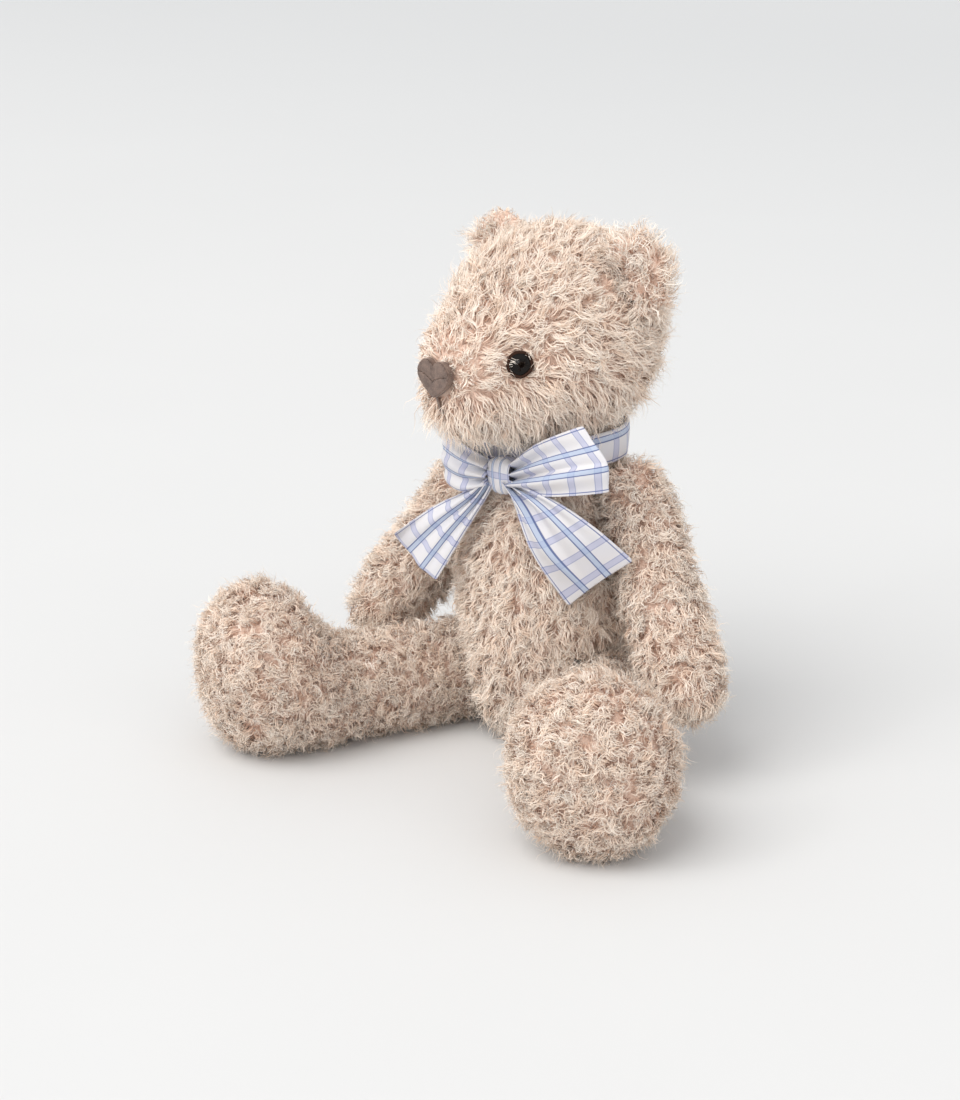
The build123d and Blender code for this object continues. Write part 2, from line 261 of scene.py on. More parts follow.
def fibrefill_material():
    """White polyester fibrefill."""
    tree = Tree("fibrefill")
    fibres = tree.noise(700, 5, 0.7)
    colour = tree.mix(fibres, srgb(222, 221, 216), srgb(248, 247, 243))
    tree.bump(fibres, 0.8, 0.8 * MM)
    return tree.finish(Base_Color=colour, Roughness=0.95, Sheen_Weight=0.3)


def plastic_material():
    """Moulded natural-white plastic with a fine parting texture."""
    tree = Tree("joint_plastic")
    flow = tree.noise(60, 2)
    grain = tree.noise(1400, 2)
    colour = tree.mix(flow, srgb(214, 212, 202), srgb(234, 232, 224))
    tree.bump(grain, 0.2, 0.1 * MM)
    rough = tree.fade(grain, 0.3, 0.7, 0.34, 0.48)
    return tree.finish(Base_Color=colour, Roughness=rough, Coat_Weight=0.15)


def eye_material():
    """Black polished plastic."""
    tree = Tree("eye_gloss")
    tone = tree.noise(300, 2)
    colour = tree.mix(tone, srgb(10, 8, 7), srgb(24, 17, 14))
    rough = tree.fade(tree.noise(900, 3), 0.35, 0.7, 0.05, 0.11)
    return tree.finish(Base_Color=colour, Roughness=rough, IOR=1.28)


def rim_material():
    """The dark-brown felt rim that shows round each eye."""
    tree = Tree("eye_rim")
    fibres = tree.noise(1500, 4, 0.7)
    colour = tree.mix(fibres, srgb(30, 17, 12), srgb(70, 44, 32))
    tree.bump(fibres, 0.5, 0.15 * MM)
    return tree.finish(Base_Color=colour, Roughness=0.85, Specular_IOR_Level=0.2)


def thread_material():
    """Brown embroidery thread with a satin sheen, and lighter flecks along its twist that are
    painted highlights.
    """
    tree = Tree("nose_thread")
    shade = tree.noise(260, 3)
    twist = tree.noise(2600, 2)
    colour = tree.mix(tree.fade(shade, 0.3, 0.7), srgb(82, 61, 51), srgb(122, 99, 87))
    # Painted highlight: lighter flecks where the twist noise is high stand in for the satin's
    # glints.
    colour = tree.mix(tree.fade(twist, 0.45, 0.75, 0.0, 0.5), colour, srgb(160, 139, 126))
    tree.bump(twist, 0.3, 0.08 * MM)
    return tree.finish(
        Base_Color=colour,
        Roughness=0.42,
        Specular_IOR_Level=0.55,
        Sheen_Weight=0.25,
        Anisotropic=0.5,
    )


def ribbon_material():
    """White cotton with woven blue checks, laid out by the cut cloth's own measures."""
    tree = Tree("ribbon_cotton")
    cut = tree.node("ShaderNodeUVMap", uv_map="cut").outputs[0]
    parts = tree.node("ShaderNodeSeparateXYZ", {0: cut})
    along = parts.outputs["X"]
    across = parts.outputs["Y"]

    def stripe(place, half, soft):
        """1 inside a stripe and 0 outside, given the distance from its middle."""
        return tree.fade(place, half - soft, half + soft, 1.0, 0.0)

    def off_middle(value, middle):
        """The distance of a measure from a middle."""
        return tree.math("ABSOLUTE", tree.math("SUBTRACT", value, middle))

    half_stripe = 1.4 * MM
    half_cross = 1.7 * MM
    cross_line_place = 1.5 * MM
    edge_line_place = 17.4 * MM
    striped_half = 10 * MM
    half_line = 0.3 * MM
    blur = 0.1 * MM

    from_middle = off_middle(across, RIBBON_WIDTH / 2)
    inner = tree.math("LESS_THAN", from_middle, striped_half)
    from_stripe = tree.math("PINGPONG", across, RIBBON_CHECK / 2)
    lengthwise = tree.math("MULTIPLY", stripe(from_stripe, half_stripe, 1.2 * blur), inner)
    border = stripe(off_middle(from_stripe, half_stripe), half_line, blur)
    border = tree.math("MULTIPLY", border, inner)
    edge = stripe(off_middle(from_middle, edge_line_place), half_line, blur)
    from_cross = tree.math("PINGPONG", along, RIBBON_CHECK / 2)
    crosswise = stripe(from_cross, half_cross, 3 * blur)
    cross_line = stripe(off_middle(from_cross, cross_line_place), 0.16 * MM, 1.4 * blur)

    patches = tree.noise(90, 2)
    ground = tree.mix(patches, srgb(222, 218, 216), srgb(213, 213, 221))
    colour = tree.mix(tree.math("MULTIPLY", crosswise, 0.8), ground, srgb(182, 184, 208))
    colour = tree.mix(tree.math("MULTIPLY", cross_line, 0.8), colour, srgb(134, 142, 180))
    colour = tree.mix(tree.math("MULTIPLY", lengthwise, 0.7), colour, srgb(164, 182, 210))
    colour = tree.mix(tree.math("MULTIPLY", border, 0.9), colour, srgb(76, 92, 142))
    colour = tree.mix(tree.math("MULTIPLY", edge, 0.85), colour, srgb(80, 96, 148))

    yarn_pitch = 0.42 * MM
    warp = tree.math("SINE", tree.math("MULTIPLY", across, 2 * pi / yarn_pitch))
    weft = tree.math("SINE", tree.math("MULTIPLY", along, 2 * pi / yarn_pitch))
    weave = tree.math("MULTIPLY", warp, weft)
    slub = tree.noise(1300, 3)
    tree.bump(tree.math("ADD", weave, slub), 0.35, 0.08 * MM)
    rough = tree.fade(slub, 0.3, 0.7, 0.72, 0.88)
    return tree.finish(
        Base_Color=colour,
        Roughness=rough,
        Sheen_Weight=0.15,
        Specular_IOR_Level=0.3,
    )


def floor_material():
    """Pale paint, with painted shade that makes the floor a little darker further behind the
    bear, where the light falls off.
    """
    tree = Tree("floor_paint_and_painted_shade")
    tone = tree.noise(3, 2)
    near = tree.mix(tone, srgb(213, 213, 213), srgb(217, 217, 217))
    place = tree.node("ShaderNodeTexCoord").outputs["Object"]
    behind = tree.node("ShaderNodeSeparateXYZ", {0: place}).outputs["Y"]
    # Painted shade: the floor grows darker with distance behind the bear, standing in for the
    # light falling off there.
    colour = tree.mix(tree.fade(behind, -0.3, 2.8), near, srgb(200, 201, 202))
    return tree.finish(Base_Color=colour, Roughness=0.7, Specular_IOR_Level=0.2)


def paint(obj, material):
    """Gives obj one material."""
    obj.data.materials.clear()
    obj.data.materials.append(material)


PILE = pile_material()
BACKING = backing_material()
FIBREFILL = fibrefill_material()
PLASTIC = plastic_material()
EYE = eye_material()
RIM = rim_material()
THREAD = thread_material()
COTTON = ribbon_material()


# --- padded covers ------------------------------------------------------------------------
def close_rims(work):
    """Closes each open rim of a bmesh with a fan of triangles round its middle."""
    open_edges = {edge for edge in work.edges if edge.is_boundary}
    while open_edges:
        rim = [open_edges.pop()]
        for edge in rim:
            joined = {e for v in edge.verts for e in v.link_edges} & open_edges
            open_edges -= joined
            rim.extend(joined)
        corners = {v for edge in rim for v in edge.verts}
        middle = work.verts.new(sum((v.co for v in corners), Vector()) / len(corners))
        for edge in rim:
            work.faces.new((*edge.verts, middle))
    bmesh.ops.recalc_face_normals(work, faces=work.faces)


def outer_face(name, cover, stuffing):
    """A closed mesh of a cover's outer face, without the face that lies on its stuffing."""
    points, tris = arrays(NODES[cover])
    if stuffing:
        inside = BVHTree.FromPolygons(*[a.tolist() for a in arrays(NODES[stuffing])])
        middles = points[tris].mean(axis=1)
        outer = [inside.find_nearest(p)[3] > COVER_WALL / 2 for p in middles]
        tris = tris[outer]
    used, places = np.unique(tris, return_inverse=True)
    work = bmesh.new()
    work.from_mesh(mesh_of(name, points[used], places.reshape(-1, 3)))
    bmesh.ops.remove_doubles(work, verts=work.verts, dist=WELD_GAP)
    close_rims(work)
    mesh = bpy.data.meshes.new(name)
    work.to_mesh(mesh)
    work.free()
    return add_object(name, mesh)


def smooth_skin(obj, voxel):
    """Remeshes obj evenly and relaxes it."""
    remesh = obj.modifiers.new("even", "REMESH")
    remesh.mode = "VOXEL"
    remesh.voxel_size = voxel
    relax = obj.modifiers.new("relax", "SMOOTH")
    relax.iterations = RELAX_ROUNDS
    bake_modifiers(obj)


def draw_in(obj, depth):
    """Moves obj's surface inwards by depth."""
    points = arrays(obj)[0]
    set_points(obj.data, points - point_normals(obj.data) * depth)


def inflate(obj):
    """The fill presses the cloth out; no point moves more than FILL_CAP."""
    scene = bpy.context.scene
    start = arrays(obj)[0]
    cloth = obj.modifiers.new("fill", "CLOTH")
    cloth.settings.use_pressure = True
    cloth.settings.uniform_pressure_force = FILL_PRESSURE
    cloth.settings.effector_weights.gravity = 0
    cloth.settings.quality = 4
    for moment in range(1, FILL_FRAMES + 1):
        scene.frame_set(moment)
    bake_modifiers(obj)
    scene.frame_set(1)
    moved = arrays(obj)[0] - start
    size = np.linalg.norm(moved, axis=1, keepdims=True)
    set_points(obj.data, start + moved * np.minimum(1, FILL_CAP / np.maximum(size, 1e-9)))


def node_of(kind, part):
    """The CAD node of one kind in a part: arm_cover_left for the cover of arm_left."""
    words = part.split("_")
    return "_".join([words[0], kind, *words[1:]])


def padded_cover(part, body, inset=BACKING_INSET, has_stuffing=True):
    """One stuffed part's backing cloth, from its CAD cover; an ear is all one solid."""
    cover = node_of("cover", part) if has_stuffing else part
    stuffing = node_of("stuffing", part) if has_stuffing else None
    skin = outer_face(f"{part}_backing", cover, stuffing)
    smooth_skin(skin, BACKING_VOXEL)
    draw_in(skin, inset)
    inflate(skin)
    finer = skin.modifiers.new("finer", "SUBSURF")
    finer.levels = 1
    bake_modifiers(skin)
    points = arrays(skin)[0]
    points[:, 2] = np.maximum(points[:, 2], FLOOR_GAP)
    set_points(skin.data, points)
    paint(skin, BACKING)
    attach(skin, body)
    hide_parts(cover)
    return skin


SKINS = {
    "torso": padded_cover("torso", "torso"),
    "head": padded_cover("head", "head"),
}
for side in SIDES:
    SKINS[f"arm_{side}"] = padded_cover(f"arm_{side}", f"arm_{side}")
    SKINS[f"leg_{side}"] = padded_cover(f"leg_{side}", f"leg_{side}")
    SKINS[f"ear_{side}"] = padded_cover(f"ear_{side}", "head", EAR_INSET, has_stuffing=False)


# --- ribbon and bow -----------------------------------------------------------------------
def spline(points, count):
    """count points evenly spread on a smooth curve through the given ones."""
    points = np.asarray(points, float)
    ends = np.vstack([2 * points[0] - points[1], points, 2 * points[-1] - points[-2]])
    places = np.linspace(0, len(points) - 1, count)
    spans = np.minimum(places.astype(int), len(points) - 2)
    t = (places - spans)[:, None]
    a, b, c, d = (ends[spans + k] for k in range(4))
    return 0.5 * (
        2 * b + (c - a) * t + (2 * a - 5 * b + 4 * c - d) * t**2 + (3 * b - a - 3 * c + d) * t**3
    )


def cloth_grid(name, rows, places, closed=False):
    """A strip of ribbon through rows of points; places are the rows' measures across the cut."""
    rows = np.asarray(rows)
    across, along = rows.shape[:2]
    index = np.arange(across * along).reshape(across, along)
    last = along if closed else along - 1
    faces = []
    corners = []
    middle = rows[across // 2]
    steps = np.linalg.norm(np.diff(middle, axis=0, append=middle[:1]), axis=1)
    run = np.concatenate([[0], np.cumsum(steps)])
    for i in range(across - 1):
        for j in range(last):
            k = (j + 1) % along
            faces.append((index[i, j], index[i, k], index[i + 1, k], index[i + 1, j]))
            for row, place in ((i, j), (i, j + 1), (i + 1, j + 1), (i + 1, j)):
                corners.append((run[place], places[row]))
    mesh = mesh_of(name, rows.reshape(-1, 3), faces)
    layer = mesh.uv_layers.new(name="cut")
    layer.data.foreach_set("uv", np.asarray(corners).ravel())
    obj = add_object(name, mesh)
    thick = obj.modifiers.new("cloth", "SOLIDIFY")
    thick.thickness = RIBBON_THICKNESS
    thick.offset = 0
    rounded = obj.modifiers.new("drape", "SUBSURF")
    rounded.levels = 1
    bake_modifiers(obj)
    paint(obj, COTTON)
    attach(obj, "torso")
    return obj, run[last]


def spread(guides, per_span):
    """Rows between guide curves, straight from each to the next, and their places across."""
    keys = sorted(guides)
    rows = []
    places = []
    for low, high in zip(keys, keys[1:]):
        shares = np.linspace(0, 1, max(2, ceil((high - low) / per_span)), endpoint=False)
        for share in shares:
            rows.append(guides[low] * (1 - share) + guides[high] * share)
            places.append((low + (high - low) * share) * MM)
    rows.append(guides[keys[-1]])
    places.append(keys[-1] * MM)
    return np.asarray(rows), places


def folded_strip(part, curves, count, gather):
    """A loop or tail of the bow through guide curves, named by their place across in mm.

    Where the strip is narrower than the ribbon, a share of the spare width stands in pleats,
    which fade towards a tail's cut end and the outer turn of a loop.
    """
    guides = {place: spline(points, count) * MM for place, points in curves.items()}
    rows, places = spread(guides, ROW_PITCH)
    width = rows[-1] - rows[0]
    outward = unit(np.cross(width, np.gradient(rows[0], axis=0)))
    spare = np.sqrt(np.maximum(RIBBON_WIDTH**2 - (width**2).sum(axis=1), 0))
    openness = np.linspace(0, 1, count)
    if "loop" in part:
        openness = np.sin(openness * pi)
    depth = spare / (2 * PLEATS) * gather * (1 - PLEAT_FADE * openness)
    wave = np.sin(np.asarray(places) / RIBBON_WIDTH * PLEATS * pi)
    rows = rows + outward[None] * depth[None, :, None] * wave[:, None, None]
    strip, length = cloth_grid(f"{part}_cloth", rows, places)
    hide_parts(part)
    return strip


def knot():
    """The wrap of ribbon round the middle of the bow, gathered into soft ridges."""
    low, high = (np.array(corner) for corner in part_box("ribbon_knot"))
    middle = (low + high) / 2
    half = (high - low) / 2
    squareness = 3
    taper, taper_power = 0.28, 2.5
    ridge, ridge_waves = 0.035, 2.1
    twist = 0.08
    turn = np.linspace(0, 2 * pi, 40, endpoint=False)
    shape = np.stack([np.cos(turn), np.sin(turn)], axis=1)
    shape /= (np.abs(shape) ** squareness).sum(axis=1, keepdims=True) ** (1 / squareness)
    places = np.linspace(0, RIBBON_WIDTH, 17)
    rows = []
    for place in places:
        across = place / RIBBON_WIDTH * 2 - 1
        swell = 1 - taper * abs(across) ** taper_power
        swell += ridge * cos(across * ridge_waves * 2 * pi)
        ring = np.zeros((len(turn), 3))
        ring[:, 0] = middle[0] + half[0] * (across + twist * np.sin(turn * 2))
        ring[:, 1] = middle[1] + half[1] * swell * shape[:, 0]
        ring[:, 2] = middle[2] + half[2] * swell * shape[:, 1]
        rows.append(ring)
    wrap, length = cloth_grid("bow_knot_cloth", rows, places, closed=True)
    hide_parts("ribbon_knot")
    return wrap


def neck_band():
    """The ribbon round the neck, folded lengthwise so that its upper edge turns in."""
    low, high = (np.array(corner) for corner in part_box("ribbon_band"))
    middle = (low + high) / 2
    radii = (high - low)[:2] / 2
    turn = np.linspace(0, 2 * pi, 96, endpoint=False)
    height = high[2] - low[2]
    # Outwards in mm and up as a share of the band's height, from the lower edge outside, over
    # the top and down inside.
    profile = [(-0.6, 0.0), (0.1, 0.25), (0.3, 0.5), (0.2, 0.75), (-0.4, 0.97), (-1.6, 1.0)]
    profile += [(-2.4, 0.9), (-2.2, 0.6), (-2.3, 0.3), (-2.6, 0.12)]
    shown = RIBBON_WIDTH * 0.9
    rows = []
    for outwards, up in profile:
        sway = 0.5 * np.sin(turn * 3 + 1) + 0.35 * np.sin(turn * 7 + up * 3)
        out = (outwards + sway * 0.8) * MM
        ring = np.zeros((len(turn), 3))
        ring[:, 0] = middle[0] + (radii[0] + out) * np.cos(turn)
        ring[:, 1] = middle[1] + (radii[1] + out) * np.sin(turn)
        ring[:, 2] = low[2] + height * up + sway * (0.4 + up) * 0.6 * MM
        rows.append(ring)
    places = np.linspace(0, shown, len(profile))
    band, length = cloth_grid("neck_ribbon_cloth", rows, places, closed=True)
    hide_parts("ribbon_band")
    return band


# Guide curves of the loops and tails, from the knot outwards, in mm.  Each is named by its
# place across the ribbon, from the lower edge at 0 to the upper edge at 38.
LOOP_LEFT = {
    0: [(6, -46, 136), (32, -49, 139), (60, -42, 145), (35, -39, 142), (6, -40, 137)],
    14: [(6, -48, 141), (32, -51, 150), (60, -43, 158), (35, -38, 152), (6, -40, 141)],
    17: [(6, -45, 142), (32, -46, 151), (59, -43, 160), (35, -37, 154), (6, -40, 143)],
    38: [(6, -44, 150), (22, -47, 163), (44, -42, 174), (30, -37, 165), (6, -40, 149)],
}
LOOP_RIGHT = {
    0: [(-6, -46, 137), (-20, -50, 132), (-33, -45, 134), (-22, -39, 135), (-6, -40, 138)],
    19: [(-6, -48, 143), (-20, -52, 145), (-36, -45, 147), (-22, -38, 146), (-6, -40, 143)],
    38: [(-6, -45, 149), (-20, -48, 155), (-35, -43, 160), (-22, -38, 155), (-6, -40, 148)],
}
TAIL_LEFT = {
    0: [(2, -46, 140), (10, -49, 132), (22, -50, 109), (37, -41, 83)],
    13: [(4, -48, 140), (17, -52, 132), (32, -51, 112), (46, -38, 92)],
    16: [(4, -46, 140), (19, -49, 133), (35, -47, 114), (48, -37, 94)],
    26: [(5, -47, 140), (25, -50, 135), (43, -45, 120), (56, -34, 101)],
    38: [(6, -45, 141), (30, -47, 138), (50, -40, 126), (66, -29, 109)],
}
TAIL_RIGHT = {
    0: [(-3, -46, 138), (-7, -49, 129), (-18, -54, 108), (-31, -56, 86)],
    13: [(-5, -48, 139), (-11, -51, 129), (-25, -55, 111), (-41, -56, 90)],
    26: [(-6, -46, 140), (-15, -50, 130), (-32, -54, 115), (-52, -52, 96)],
    33: [(-7, -46, 140), (-17, -51, 132), (-35, -54, 119), (-58, -53, 101)],
    38: [(-8, -46, 140), (-19, -51, 132), (-36, -52, 122), (-57, -57, 105)],
}
BOW = [
    neck_band(),
    knot(),
    folded_strip("ribbon_loop_left", LOOP_LEFT, 25, 1.2),
    folded_strip("ribbon_loop_right", LOOP_RIGHT, 25, 1.6),
    folded_strip("ribbon_tail_left", TAIL_LEFT, 19, 1.1),
    folded_strip("ribbon_tail_right", TAIL_RIGHT, 19, 1.1),
]

# Each tail is given a mesh of its own.
for tail, side in zip(BOW[-2:], SIDES):
    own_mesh(tail)


# --- pile ---------------------------------------------------------------------------------
# One kind of pile: length in mm, its lean from the surface's normal at the root and the tip
# in degrees, the curl's radius in mm and its turns, how wildly the tufts lie, how far a
# tuft's strands draw together at their tips, as a share, and the mean tint.
Coat = namedtuple("Coat", "length lean_root lean_tip curl turns wild gather tint")

STRANDS_PER_MM2 = 0.85
STRANDS_PER_TUFT = 8
STRAND_STEPS = 7
STRAND_WIDTH = 0.7 * MM
MAX_STRANDS = 18_000  # keeps a piece under 200 000 triangles
WISPS = 0.09  # the share of strands that stand out of their tuft as a thin haze
WISP_LENGTH = 1.25
WISP_WIDTH = 0.5
WISP_GATHER = 0.1
WISP_LIFT = 16  # degrees that a wisp stands up from its tuft
TUFT_LIFT = 9  # degrees that the tufts' lean varies by
STRAND_STRAY = 0.16  # how far strands stray from the way their tuft runs
STRAND_TURN = 0.55  # how far a strand's flat side turns from the skin
GATHER_POWER = 1.3
TAPER_POWER = 1.6
LOOK_OUT = 20 * MM  # how far the pile looks for something that it would run into
PRESSED = 0.12  # the share of its length that pressed pile keeps
MAP_MARGIN = 0.02  # between the edge of the bake map and the strands in it
MAP_STRAND = 0.03  # a strand's width in the bake map

HEAD_COAT = Coat(12.0, 40, 84, 1.2, 1.3, 0.7, 0.6, 0.42)
EAR_COAT = Coat(12.0, 28, 80, 1.4, 1.5, 0.8, 0.45, 0.6)
TORSO_COAT = Coat(11.0, 38, 84, 1.3, 1.4, 0.7, 0.6, 0.4)
ARM_COAT = Coat(10.0, 36, 84, 1.4, 1.6, 0.8, 0.5, 0.4)
LEG_COAT = Coat(10.0, 38, 85, 1.4, 1.6, 0.9, 0.4, 0.32)

NOSE = np.mean(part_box("nose"), axis=0)
EYES = [np.mean(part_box(f"eye_{side}"), axis=0) for side in SIDES]
EARS = [np.mean(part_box(f"ear_{side}"), axis=0) for side in SIDES]
LEVEL = np.array([1, 1, 0])
FORWARD = unit((NOSE - np.mean(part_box("head_cover"), axis=0)) * LEVEL)


def scatter(rng, skin, count):
    """Points spread at random over a skin, with their normals."""
    points, tris = arrays(skin)
    normals = point_normals(skin.data)
    a, b, c = (points[tris[:, k]] for k in range(3))
    areas = np.linalg.norm(np.cross(b - a, c - a), axis=1)
    picked = rng.choice(len(tris), count, p=areas / areas.sum())
    u, v = rng.random((2, count, 1))
    fold = u + v > 1
    u, v = np.where(fold, 1 - u, u), np.where(fold, 1 - v, v)
    corners = tris[picked]
    spots = a[picked] * (1 - u - v) + b[picked] * u + c[picked] * v
    aims = normals[corners[:, 0]] * (1 - u - v)
    aims += normals[corners[:, 1]] * u + normals[corners[:, 2]] * v
    return spots, unit(aims)


def area_of(skin):
    """A skin's area."""
    points, tris = arrays(skin)
    a, b, c = (points[tris[:, k]] for k in range(3))
    return np.linalg.norm(np.cross(b - a, c - a), axis=1).sum() / 2


def tuft_of(spots, count):
    """Which of the first count spots is nearest to each spot."""
    tree = KDTree(count)
    for i, spot in enumerate(spots[:count]):
        tree.insert(spot, i)
    tree.balance()
    return np.array([tree.find(spot)[1] for spot in spots])


def room_above(spots, aims, obstacles):
    """How far each spot sees along its aim before it meets an obstacle."""
    reach = np.full(len(spots), 1.0)
    for obstacle in obstacles:
        points, tris = arrays(obstacle)
        low, high = points.min(0) - LOOK_OUT, points.max(0) + LOOK_OUT
        near = ((spots > low) & (spots < high)).all(axis=1)
        if not near.any():
            continue
        tree = BVHTree.FromPolygons(points.tolist(), tris.tolist())
        for i in np.flatnonzero(near):
            distance = tree.ray_cast(Vector(spots[i]), Vector(aims[i]), LOOK_OUT)[3]
            if distance is not None:
                reach[i] = min(reach[i], distance)
    return reach


def blades(name, paths, sides, widths, tints):
    """Tapered strands as one mesh: paths is strands x steps x 3."""
    count, steps = paths.shape[:2]
    share = np.linspace(0, 1, steps)
    taper = (1 - share**TAPER_POWER)[None, :-1, None]
    half = sides * widths[:, None, None] * taper / 2
    rows = np.stack([paths[:, :-1] - half, paths[:, :-1] + half], axis=2)
    ring = 2 * (steps - 1)
    points = np.concatenate([rows.reshape(count, ring, 3), paths[:, -1:]], axis=1)
    points[..., 2] = np.maximum(points[..., 2], FLOOR_GAP)
    first = (np.arange(count) * (ring + 1))[:, None]
    quads = np.concatenate([[k, k + 1, k + 3, k + 2] for k in range(0, ring - 2, 2)])
    pattern = np.concatenate([quads, [ring - 2, ring - 1, ring]])
    loops = (first + pattern[None]).ravel()
    sizes = np.tile(np.append(np.full(steps - 2, 4), 3), count)
    mesh = bpy.data.meshes.new(name)
    mesh.vertices.add(count * (ring + 1))
    mesh.vertices.foreach_set("co", points.ravel())
    mesh.loops.add(len(loops))
    mesh.loops.foreach_set("vertex_index", loops.astype(np.int32))
    mesh.polygons.add(len(sizes))
    starts = np.concatenate([[0], np.cumsum(sizes)[:-1]])
    mesh.polygons.foreach_set("loop_start", starts.astype(np.int32))
    mesh.update(calc_edges=True)
    along = np.tile(np.append(np.repeat(share[:-1], 2), 1.0), (count, 1))
    tint = np.repeat(tints[:, None], ring + 1, axis=1)
    for key, values in (("along", along), ("tint", tint)):
        layer = mesh.attributes.new(key, "FLOAT", "POINT")
        layer.data.foreach_set("value", values.ravel().astype(np.float32))
    bake_map(mesh, along.ravel(), tint.ravel(), loops, count, ring)
    obj = add_object(name, mesh)
    paint(obj, PILE)
    return obj


def bake_map(mesh, along, tint, loops, count, ring):
    """A UV map that puts every strand of one tint in one place, as their colours are equal."""
    lean = np.tile(np.append(np.tile([-0.5, 0.5], ring // 2), 0.0), count)
    span = 1 - 2 * MAP_MARGIN
    u = MAP_MARGIN + span * tint + lean * MAP_STRAND
    v = MAP_MARGIN + span * along
    layer = mesh.uv_layers.new(name="OFBake")
    layer.data.foreach_set("uv", np.stack([u[loops], v[loops]], axis=1).ravel())


def grow(part, skin, body, coat, lay, trim, obstacles, seed):
    """Covers a skin with tufts of curly pile, as one or more meshes."""
    rng = np.random.default_rng(seed)
    count = int(area_of(skin) / MM**2 * STRANDS_PER_MM2)
    spots, normals = scatter(rng, skin, count)
    scale = trim(spots)
    kept = scale > 0.05
    spots, normals, scale = spots[kept], normals[kept], scale[kept]
    count = len(spots)
    tufts = max(1, count // STRANDS_PER_TUFT)
    tuft = tuft_of(spots, tufts)

    wild = rng.normal(size=(tufts, 3)) * coat.wild
    flow = lay(spots[:tufts], normals[:tufts]) + wild
    flow = unit(flow - normals[:tufts] * dot(flow, normals[:tufts]))[tuft]
    flow = flow + rng.normal(size=(count, 3)) * STRAND_STRAY
    flow = unit(flow - normals * dot(flow, normals))
    side = np.cross(normals, flow)

    length = coat.length * MM * (0.8 + 0.4 * rng.random(tufts))[tuft]
    length = length * (0.85 + 0.3 * rng.random(count)) * scale
    wisp = rng.random(count) < WISPS
    length = np.where(wisp, length * WISP_LENGTH, length)
    lift = rng.normal(size=tufts)[tuft] * TUFT_LIFT - np.where(wisp, WISP_LIFT, 0)
    start = np.radians(np.clip(coat.lean_root + lift, 0, 80))
    end = np.radians(np.clip(coat.lean_tip + lift, 0, 86))
    rise = np.cos((start + end) / 2) * length
    room = room_above(spots, normals, obstacles)
    squeeze = np.clip((room - 0.4 * MM) / np.maximum(rise, 1e-6), PRESSED, 1)
    length = length * squeeze

    share = np.linspace(0, 1, STRAND_STEPS)
    lean = start[:, None] + (end - start)[:, None] * share[None]
    heading = normals[:, None] * np.cos(lean)[..., None] + flow[:, None] * np.sin(lean)[..., None]
    steps = (heading[:, 1:] + heading[:, :-1]) / 2 * (length / (STRAND_STEPS - 1))[:, None, None]
    paths = np.concatenate([np.zeros((count, 1, 3)), np.cumsum(steps, axis=1)], axis=1)

    phase = (rng.random(tufts) * 2 * pi)[tuft] + rng.normal(size=count) * 0.5
    turns = coat.turns * (0.7 + 0.6 * rng.random(tufts))[tuft]
    angle = phase[:, None] + turns[:, None] * 2 * pi * share[None]
    radius = coat.curl * MM * squeeze[:, None] * scale[:, None] * np.sqrt(share)[None]
    across = side[:, None] * np.cos(angle)[..., None]
    over = np.cross(heading, side[:, None]) * np.sin(angle)[..., None]
    paths += (across + over) * radius[..., None]

    gather = np.where(wisp, WISP_GATHER, coat.gather)[:, None] * share[None] ** GATHER_POWER
    towards = (spots[tuft] - spots)[:, None] * gather[..., None]
    paths += towards + spots[:, None]

    tangents = unit(np.diff(paths, axis=1))
    facing = normals + rng.normal(size=(count, 3)) * STRAND_TURN
    sides = unit(np.cross(tangents, facing[:, None]))
    widths = STRAND_WIDTH * (0.6 + 0.7 * rng.random(count)) * np.where(wisp, WISP_WIDTH, 1)
    tints = coat.tint + 0.17 * rng.normal(size=tufts)[tuft] + 0.13 * rng.normal(size=count)
    tints = np.clip(tints, 0, 1)

    pieces = ceil(count / MAX_STRANDS)
    order = np.argsort(spots[:, 2], kind="stable")
    for k, chosen in enumerate(np.array_split(order, pieces)):
        name = f"{part}_pile" if pieces == 1 else f"{part}_pile_{k + 1}"
        fur = blades(name, paths[chosen], sides[chosen], widths[chosen], tints[chosen])
        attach(fur, body)


# Each lay takes a skin's spots and their normals, and gives the way that the pile runs there;
# each trim takes the spots, and gives the pile's length there as a share.
def radiating(spots, normals):
    """On the head the pile runs back from the nose, hangs at the jaw and rises at the crown."""
    back = unit(spots - NOSE)
    jaw = step_between(205 * MM, 175 * MM, spots[:, 2:3])
    crown = step_between(215 * MM, 250 * MM, spots[:, 2:3])
    down = np.array([0.0, 0.0, -1.0])
    return back + down * jaw * 1.6 - down * crown * 0.2


def downwards(spots, normals):
    """On the torso the pile runs down."""
    return np.tile([0.0, 0.0, -1.0], (len(spots), 1))


def outward_ear(spots, normals):
    """On an ear the pile runs out to its rim."""
    middle = spots.mean(axis=0) - np.array([0, 0, 8 * MM])
    return unit(spots - middle)


def to_the_paw(spots, normals):
    """On an arm the pile runs away from the shoulder."""
    root = spots[np.argsort(-spots[:, 2])[:50]].mean(axis=0)
    return unit(spots - root)


def forwards(spots, normals):
    """On a leg the pile runs to the sole and a little up."""
    return np.tile([0.0, -1.0, 0.2], (len(spots), 1))


